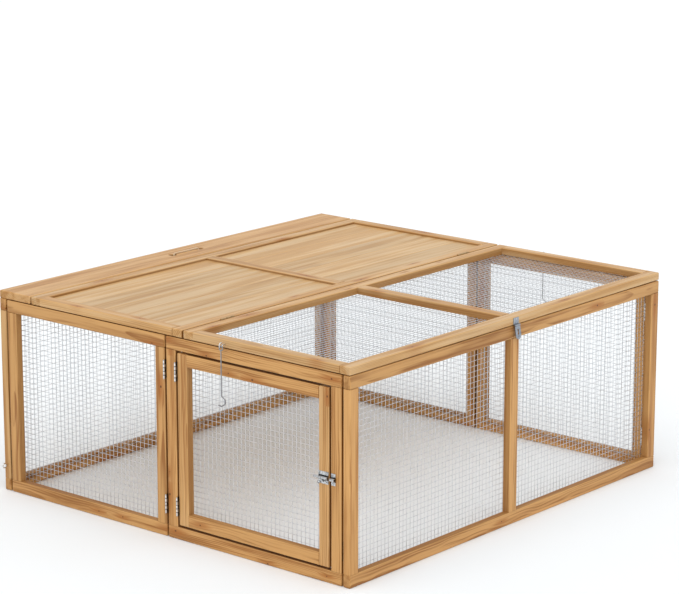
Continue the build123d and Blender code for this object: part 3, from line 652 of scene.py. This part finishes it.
def knuckle_joints(place, math, ramp):
    """Painted shade and grease in the joints of the two hinges on an upright line: a dark ring wherever the
    height above a hinge's end is a whole number of knuckles. The hinges mirror each other about the middle of
    the line. The tongues that join outer knuckles to their leaves, told by their distance from the middle,
    are darkened the same way."""
    low, high = HINGE_LEVELS
    from_middle = math("ABSOLUTE", math("SUBTRACT", place[2], (low + high) / 2))
    from_end = math("SUBTRACT", from_middle, (high - low - HINGE_TALL) / 2)
    part = math("FRACT", math("DIVIDE", from_end, KNUCKLE_TALL))
    nearest = math("MINIMUM", part, math("SUBTRACT", 1.0, part))
    off = math("MULTIPLY", nearest, KNUCKLE_TALL)
    out = math("ABSOLUTE", place[0])
    tongue = math("MULTIPLY", ramp(out, *TONGUE_FROM), ramp(out, *TONGUE_TO))
    return math("MAXIMUM", ramp(off, *JOINT_DARK), tongue)


zinc = galvanised("bright_zinc", ZINC_BRIGHT, ZINC_DULL, ZINC_ROUGH)
zinc_hinge = with_shade_and_grease(galvanised("zinc_hinge", LEAF_BRIGHT, LEAF_DULL, LEAF_ROUGH), knuckle_joints)
brassed = galvanised("brassed_hinge", BRASS_BRIGHT, BRASS_DULL, BRASS_ROUGH)
for node in cad:
    if "lid_hinge" in node:
        dress(node, brassed)
    elif "hinge_leaves" in node:
        dress(node, zinc_hinge)
    elif "hinge" in node or "eyes" in node:
        dress(node, zinc)

# Hinge screws: two countersunk cross-head screws hold each leaf, facing the other leaf across the gap.
# They stand in rows along the pins, and each is a domed disc with a cross-shaped recess.
SCREW_R = 0.0026
HEAD_LINES = np.array([0.14, 0.2, 0.6, 0.64, 0.86, 1.0])
CROSS_HALF = 0.17
CROSS_REACH = 0.62
FLAT_DOME = 0.00035
FLAT_RECESS = 0.0006
FLAT_UNDER = 0.0009
LEAF_FACE = 0.0012
SCREW_APART = 0.013
LID_HINGE_X = (-0.440, 0.440)
UPRIGHT_SCREW_IN = 0.0119
LID_SCREW_IN = 0.0073
INNER_PIN_X = 0.580
HINGE_JOINTS = (
    "wall_fold",
    "left_fold",
    "front_left_corner",
    "rear_right_corner",
    "right_fold",
    "door_swing",
    "boarded_lid_lift",
    "net_lid_turn",
)


def screw_head(rim_high, dome, recess, under):
    """A cross-head screw's head: a square grid pulled to a disc, x = u sqrt(1 - v2/2), y = v sqrt(1 - u2/2),
    its height a rim and a dome less a cross, closed by the same grid laid flat below."""
    lines = np.concatenate([-HEAD_LINES[::-1], HEAD_LINES])
    u, v = np.meshgrid(lines, lines, indexing="ij")
    x = SCREW_R * u * np.sqrt(1 - v**2 / 2)
    y = SCREW_R * v * np.sqrt(1 - u**2 / 2)
    one_way = (abs(u) < CROSS_HALF) & (abs(v) < CROSS_REACH)
    top = rim_high + dome * (1 - (x**2 + y**2) / SCREW_R**2) - recess * (one_way | one_way.T)
    index = np.arange(u.size).reshape(u.shape)
    corners = [index[:-1, :-1], index[1:, :-1], index[1:, 1:], index[:-1, 1:]]
    quads = np.stack(corners, axis=-1).reshape(-1, 4)
    rim = np.concatenate([index[:-1, 0], index[-1, :-1], index[:0:-1, -1], index[0, :0:-1]])
    low = rim + u.size
    sides = np.stack([rim, low, np.roll(low, -1), np.roll(rim, -1)], axis=-1)
    points = np.stack([np.stack([x, y, top], -1), np.stack([x, y, np.full_like(x, -under)], -1)])
    return points.reshape(-1, 3), quads.tolist() + (quads[:, ::-1] + u.size).tolist() + sides.tolist()


def facing(shape, at, out):
    """A shape made round the z axis, turned to face a level way and moved to a place."""
    first = np.cross((0.0, 0.0, 1.0), out)
    return np.asarray(at) + shape[0] @ np.stack([first, np.cross(out, first), out]), shape[1]


flat_head = screw_head(rim_high=0.0, dome=FLAT_DOME, recess=FLAT_RECESS, under=FLAT_UNDER)
pins = {joint["name"]: joint for joint in frame["joints"]}
hinge_rows = [(pins[name]["pos_m"], pins[name]["parent"], pins[name]["child"]) for name in HINGE_JOINTS]
left_corner = pins["front_left_corner"]["pos_m"]
hinge_rows.append(((-left_corner[0], *left_corner[1:]), "right_front_panel", "front_wall"))
screws_on = {}
for (x, y, z), parent, child in hinge_rows:
    # From a pin inside a corner the leaves point outwards, and from an outer pin inwards.
    into = np.sign(x) * (1.0 if abs(x) < INNER_PIN_X else -1.0)
    lid_z = z - LID_SCREW_IN if child == "net_lid" else z + LID_SCREW_IN
    for body, side in ((parent, 1.0), (child, -1.0)):
        face = y + side * LEAF_FACE
        for apart in (-SCREW_APART, SCREW_APART):
            if child in ("boarded_lid", "net_lid"):
                spots = [(along + apart, face, lid_z) for along in LID_HINGE_X]
            else:
                spots = [(x + into * UPRIGHT_SCREW_IN, face, up + apart) for up in HINGE_LEVELS]
            heads = [facing(flat_head, spot, (0.0, -side, 0.0)) for spot in spots]
            screws_on.setdefault(body, []).extend(heads)
for body, heads in screws_on.items():
    new_piece(f"{body}_hinge_screws", *gather(heads), zinc, body, "zinc")

# Barrel bolt: a pressed plate with its barrel on the door, a rod with a knob that slides in it, and a keeper
# on the panel, of nickelled steel with dark patches painted in as dark reflections, and painted shade along
# the barrels' feet.
BOLT_FACE = -0.5912
BOLT_Z = 0.240
# The dark band on the plates beside the barrels is painted shade.
FOOT_TALL = 0.0012
FOOT_DARK = (0.0048, 0.0068, 0.95, 0.0)
# The dark nickel colour and its large share paint dark reflections in patches.
NICKEL_BRIGHT = (0.70, 0.72, 0.74, 1.0)
NICKEL_REFLECTION_DARK = (0.12, 0.125, 0.13, 1.0)
NICKEL_ROUGH = 0.22
NICKEL_PATCHES = 240.0
NICKEL_REFLECTION_SHARE = 0.70


def barrel_feet(place, math, ramp):
    """Painted shade beside the barrels: dark on and just above the plates, fading with the height above or
    below the barrels' axis."""
    off = math("ABSOLUTE", math("SUBTRACT", place[2], BOLT_Z))
    on_plate = ramp(place[0], BOLT_FACE - FOOT_TALL, BOLT_FACE - FOOT_TALL / 2)
    return math("MULTIPLY", on_plate, ramp(off, *FOOT_DARK))


nickel_look = (NICKEL_BRIGHT, NICKEL_REFLECTION_DARK, NICKEL_ROUGH, NICKEL_PATCHES, NICKEL_REFLECTION_SHARE)
nickel = with_shade_and_grease(galvanised("bolt_nickel", *nickel_look), barrel_feet)
for node in ("bolt_base", "door_bolt", "bolt_keeper"):
    dress(node, nickel)

# Hasp: a leaf on the net lid's front edge, with a slotted strap hinged under it that drops over a wire staple
# in the front wall, all of grey zinc-plated steel.
HASP_BRIGHT = (0.40, 0.43, 0.48, 1.0)
HASP_DULL = (0.17, 0.19, 0.22, 1.0)
HASP_ROUGH = 0.26
hasp_steel = galvanised("hasp_steel", HASP_BRIGHT, HASP_DULL, HASP_ROUGH)
for node in ("hasp_leaf", "hasp_pin", "hasp_strap", "hasp_staple"):
    dress(node, hasp_steel)

# Bolt, keeper and hasp screws: round cross-head screws of the bolt's nickelled steel, seated on the plates,
# with their pointed shanks in the wood.
ROUND_RIM = 0.0003
ROUND_DOME = 0.0008
ROUND_RECESS = 0.0007
SHANK_R = 0.0012
SHANK_LONG = 0.0102
SHANK_SIDES = 10
SHANK_PROFILE = np.array([(0.04, 1.0), (0.5, 0.88), (1.0, 0.7), (1.0, 0.0)])
BOLT_Y = -0.4754
BOLT_OFF = 0.0105
KEEPER_Y = -0.5036
KEEPER_OFF = 0.010
HASP_SCREW_AT = (0.0, -0.5512, 0.494)
LEFTWARD = (-1.0, 0.0, 0.0)
FORWARD = (0.0, -1.0, 0.0)
ends = (-1, 1)
bolt_spots = [(BOLT_FACE, BOLT_Y + a * BOLT_OFF, BOLT_Z + b * BOLT_OFF) for a in ends for b in ends]
keeper_spots = [(BOLT_FACE, KEEPER_Y, BOLT_Z + b * KEEPER_OFF) for b in ends]


def shank():
    """A screw's shank: rings of corners, their radius and depth following a short profile to the point."""
    turn = np.arange(SHANK_SIDES) * 2 * np.pi / SHANK_SIDES
    wide = SHANK_R * SHANK_PROFILE[:, :1]
    deep = np.repeat(-SHANK_LONG * SHANK_PROFILE[:, 1:], SHANK_SIDES, axis=1)
    points = np.stack([wide * np.cos(turn), wide * np.sin(turn), deep], axis=-1)
    return points.reshape(-1, 3), tube_faces(np.arange(deep.size).reshape(deep.shape))


round_head = screw_head(rim_high=ROUND_RIM, dome=ROUND_DOME, recess=ROUND_RECESS, under=0.0)
round_screw = gather([round_head, shank()])
for node, body, spots, out in (
    ("bolt_screws", "door", bolt_spots, LEFTWARD),
    ("keeper_screws", "left_front_panel", keeper_spots, LEFTWARD),
    ("hasp_screws", "net_lid", [HASP_SCREW_AT], FORWARD),
):
    set_in = [facing(round_screw, spot, out) for spot in spots]
    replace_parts(new_piece(f"round_{node}", *gather(set_in), nickel, body, "zinc"), node)

# Hooks: two long hooks of bent galvanised wire, each with a ring at its top that hangs in an eye of the net
# lid. They hold the lids down when the pen is packed.
HOOK_BRIGHT = (0.36, 0.36, 0.37, 1.0)
HOOK_DULL = (0.17, 0.17, 0.18, 1.0)
HOOK_ROUGH = 0.36
hook_wire = galvanised("hook_wire", HOOK_BRIGHT, HOOK_DULL, HOOK_ROUGH)
dress("left_hook", hook_wire)
dress("right_hook", hook_wire)

# Carrying rope: a 4.4 mm cord of three cotton strands, lying flat on the rear plank between two wide holes.
# Both ends go down through the holes and are knotted together underneath, so a loop can be pulled up to
# carry the folded pen by.
ROPE_THICK = 0.0044
ROPE_LAY = 0.0145
ROPE_SIDES = 36
ROPE_STEP = ROPE_THICK / 6
ROPE_SMOOTH = 32
STRAND_OFF = 0.245
STRAND_R = 0.255
ROPE_TOP = 0.5023
ROPE_LEFT = -0.0415
ROPE_RIGHT = 0.0475
ROPE_NEAR_EDGE = 0.010
ROPE_TURN_Z = 0.4653
KNOT_Z = 0.4363
KNOT_X = (ROPE_LEFT + ROPE_RIGHT) / 2
KNOT_END_OFF = 0.0026
ROPE_ROUTE = (
    (KNOT_X - KNOT_END_OFF, ROPE_Y, KNOT_Z),
    (ROPE_LEFT, ROPE_Y, ROPE_TURN_Z),
    (ROPE_LEFT, ROPE_Y, ROPE_TOP - ROPE_NEAR_EDGE),
    (ROPE_LEFT, ROPE_Y, ROPE_TOP),
    (ROPE_LEFT + ROPE_NEAR_EDGE, ROPE_Y, ROPE_TOP),
    (ROPE_RIGHT - ROPE_NEAR_EDGE, ROPE_Y, ROPE_TOP),
    (ROPE_RIGHT, ROPE_Y, ROPE_TOP),
    (ROPE_RIGHT, ROPE_Y, ROPE_TOP - ROPE_NEAR_EDGE),
    (ROPE_RIGHT, ROPE_Y, ROPE_TURN_Z),
    (KNOT_X + KNOT_END_OFF, ROPE_Y, KNOT_Z),
)
COTTON_CREAM = (0.76, 0.59, 0.40, 1.0)
# The groove colour is painted shade between the strands and yarns.
COTTON_GROOVE_SHADE = (0.55, 0.40, 0.24, 1.0)
COTTON_SOILED = (0.55, 0.41, 0.25, 1.0)
COTTON_FLUFF = {"Scale": 2600.0, "Detail": 3.0, "Roughness": 0.65}
COTTON_SOIL = {"Scale": 90.0, "Detail": 3.0}
COTTON_SHEEN = 0.25
COTTON_GLOSS = 0.2
COTTON_BUMP = (0.5, 0.0003)
YARN_TURNS = 5200.0
YARN_WAVER = 9.0
YARN_LIFT = 0.12
CROWN_PALE = (0.0, 0.75)
SOIL_SHARE = (0.45, 0.8, 0.0, 0.35)
FLUFF_ROUGH = (0.2, 0.8, 0.75, 0.95)


def travelled(line):
    """How far along a line each of its points is: the lengths of the steps before it, added up."""
    return np.concatenate([[0.0], np.cumsum(np.linalg.norm(np.diff(line, axis=0), axis=1))])


def evenly(line, step):
    """The same line with its points a step apart, by straight interpolation over the distance travelled."""
    gone = travelled(line)
    at = np.linspace(0.0, gone[-1], int(gone[-1] / step) + 1)
    return np.stack([np.interp(at, gone, line[:, axis]) for axis in range(3)], axis=1)


def twisted_strands(line, aside=(0.0, 1.0, 0.0)):
    """Three strands round a line. The outline over each third of a turn is b cos a + sqrt(c2 - b2 sin2 a),
    three overlapping circles, turning once in each lay. Gives points, faces, distance and crown height."""
    gone = travelled(line)
    along = unit(np.gradient(line, axis=0))
    first = unit(np.cross(along, aside))
    second = np.cross(along, first)
    offset = STRAND_OFF * ROPE_THICK
    strand = STRAND_R * ROPE_THICK
    turn = np.arange(ROPE_SIDES) * 2 * np.pi / ROPE_SIDES
    within = turn % (2 * np.pi / 3) - np.pi / 3
    reach = offset * np.cos(within) + np.sqrt(strand**2 - (offset * np.sin(within)) ** 2)
    angle = turn[None] + 2 * np.pi * gone[:, None] / ROPE_LAY
    points = line[:, None] + (reach * np.cos(angle))[..., None] * first[:, None]
    points = points + (reach * np.sin(angle))[..., None] * second[:, None]
    index = np.arange(len(line) * ROPE_SIDES).reshape(-1, ROPE_SIDES)
    crown = np.tile((reach - reach.min()) / np.ptp(reach), len(line))
    return points.reshape(-1, 3), tube_faces(index), np.repeat(gone, ROPE_SIDES), crown


def rope_piece(name, parts, material):
    """A piece of rope from its surfaces, which keeps how far along and how high on a strand each point is."""
    piece = new_piece(name, *gather(parts), material, "rear_wall", "rope")
    for key, column in (("along", 2), ("crown", 3)):
        values = np.concatenate([part[column] for part in parts]).astype(np.float32)
        piece.data.attributes.new(key, "FLOAT", "POINT").data.foreach_set("value", values)
    return piece


def cotton():
    """Cotton strands: pale on the crowns with painted shade in the grooves, crossed by slant lines of painted
    shade between the yarns, which are a sine of the distance along the rope, shaken by the fluff."""
    material, shader, (add, math, vector, ramp, mix) = new_material("twisted_cotton")
    place = add("ShaderNodeTexCoord").outputs["Object"]
    crown = add("ShaderNodeAttribute", attribute_name="crown").outputs["Fac"]
    along = add("ShaderNodeAttribute", attribute_name="along").outputs["Fac"]
    fluff = add("ShaderNodeTexNoise", {"Vector": place, **COTTON_FLUFF}).outputs[0]
    soil = add("ShaderNodeTexNoise", {"Vector": place, **COTTON_SOIL}).outputs[0]
    shaken = math("MULTIPLY", fluff, YARN_WAVER)
    yarns = math("SINE", math("ADD", math("MULTIPLY", along, YARN_TURNS), shaken))
    raised = math("ADD", crown, math("MULTIPLY", yarns, YARN_LIFT))
    tint = mix(ramp(raised, *CROWN_PALE), COTTON_GROOVE_SHADE, COTTON_CREAM)
    tint = mix(ramp(soil, *SOIL_SHARE), tint, COTTON_SOILED)
    shader.inputs["Sheen Weight"].default_value = COTTON_SHEEN
    shader.inputs["Specular IOR Level"].default_value = COTTON_GLOSS
    rough = ramp(fluff, *FLUFF_ROUGH)
    return finish_material(material, shader, tint, rough, math("ADD", fluff, raised), *COTTON_BUMP)


route = bpy.data.curves.new("rope_route", "CURVE")
route.dimensions = "3D"
spline = route.splines.new("NURBS")
spline.points.add(len(ROPE_ROUTE) - 1)
spline.points.foreach_set("co", [value for point in ROPE_ROUTE for value in (*point, 1.0)])
spline.order_u = 3
spline.use_endpoint_u = True
spline.resolution_u = ROPE_SMOOTH
guide = bpy.data.objects.new("rope_guide", route)
guide_mesh = bpy.data.meshes.new_from_object(guide)
rope_line = np.zeros(len(guide_mesh.vertices) * 3, dtype=np.float32)
guide_mesh.vertices.foreach_get("co", rope_line)
rope_line = evenly(rope_line.reshape(-1, 3).astype(float), ROPE_STEP)
bpy.data.meshes.remove(guide_mesh)
bpy.data.objects.remove(guide)
cotton_rope = cotton()
rope = rope_piece("rope_cord", [twisted_strands(rope_line)], cotton_rope)
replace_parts(rope, "carry_rope")

# Knot: the two ends tied in a tight overhand knot, a loop of three leaves, with a short tail of each end
# hanging below it.
KNOT_LEAF = 0.0021
KNOT_DEEP = 1.1
KNOT_POINTS = 400
TAIL_POINTS = 24
TAIL_FALL = np.array((0.0055, 0.0020, -0.0150))
TAIL_SPREAD = np.array((0.0030, 0.0, -0.0020))
knot_middle = np.array((KNOT_X, ROPE_Y, KNOT_Z))
sweep = np.linspace(0.0, 2 * np.pi, KNOT_POINTS)[:-2]
leaf_x = np.sin(sweep) + 2 * np.sin(2 * sweep)
leaf_z = np.cos(sweep) - 2 * np.cos(2 * sweep)
leaves = np.stack([leaf_x, -KNOT_DEEP * np.sin(3 * sweep), leaf_z], axis=1)
knot_parts = [twisted_strands(evenly(knot_middle + KNOT_LEAF * leaves, ROPE_STEP))]
fall = np.linspace(0.0, 1.0, TAIL_POINTS)[:, None]
for way in ((-1.0, -1.0, 1.0), (1.0, 1.0, 1.0)):
    knot_parts.append(twisted_strands(knot_middle + (fall * TAIL_FALL + fall**2 * TAIL_SPREAD) * way))
knot = rope_piece("rope_knot", knot_parts, cotton_rope)
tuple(ROPE_ROUTE[0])

# Floor and light: a plain pale floor just under the pen, which isn't part of it, and a white sky all round.
# A wide soft sun stands over the front left.
FLOOR_HALF = 60.0
FLOOR_DROP = 0.0003
FLOOR_PALE = (0.90, 0.93, 0.95, 1.0)
FLOOR_ROUGH = 0.9
SUN_FROM = (-1.7, -1.25, 3.6)
SUN_STRONG = 1.3
SUN_WIDE = 1.3
SKY_WHITE = (1.0, 1.0, 1.0, 1.0)
SKY_STRONG = 0.80
floor_stuff, floor_shader, _ = new_material("pale_floor")
floor_shader.inputs["Roughness"].default_value = FLOOR_ROUGH
floor_shader.inputs["Base Color"].default_value = FLOOR_PALE
floor_mesh = bpy.data.meshes.new("floor")
floor_ends = (-FLOOR_HALF, FLOOR_HALF)
floor_corners = [(x, y, -FLOOR_DROP) for y in floor_ends for x in floor_ends]
floor_mesh.from_pydata(floor_corners, [], [(0, 1, 3, 2)])
floor_mesh.materials.append(floor_stuff)
floor = bpy.data.objects.new("floor", floor_mesh)
scene.collection.objects.link(floor)
world = bpy.data.worlds.new("studio")
world.use_nodes = True
world.node_tree.nodes["Background"].inputs["Color"].default_value = SKY_WHITE
world.node_tree.nodes["Background"].inputs["Strength"].default_value = SKY_STRONG
scene.world = world
sun = bpy.data.objects.new("soft_sun", bpy.data.lights.new("soft_sun", "SUN"))
sun.data.energy = SUN_STRONG
sun.data.angle = SUN_WIDE
sun.rotation_euler = (-Vector(SUN_FROM)).to_track_quat("-Z", "Y").to_euler()
scene.collection.objects.link(sun)
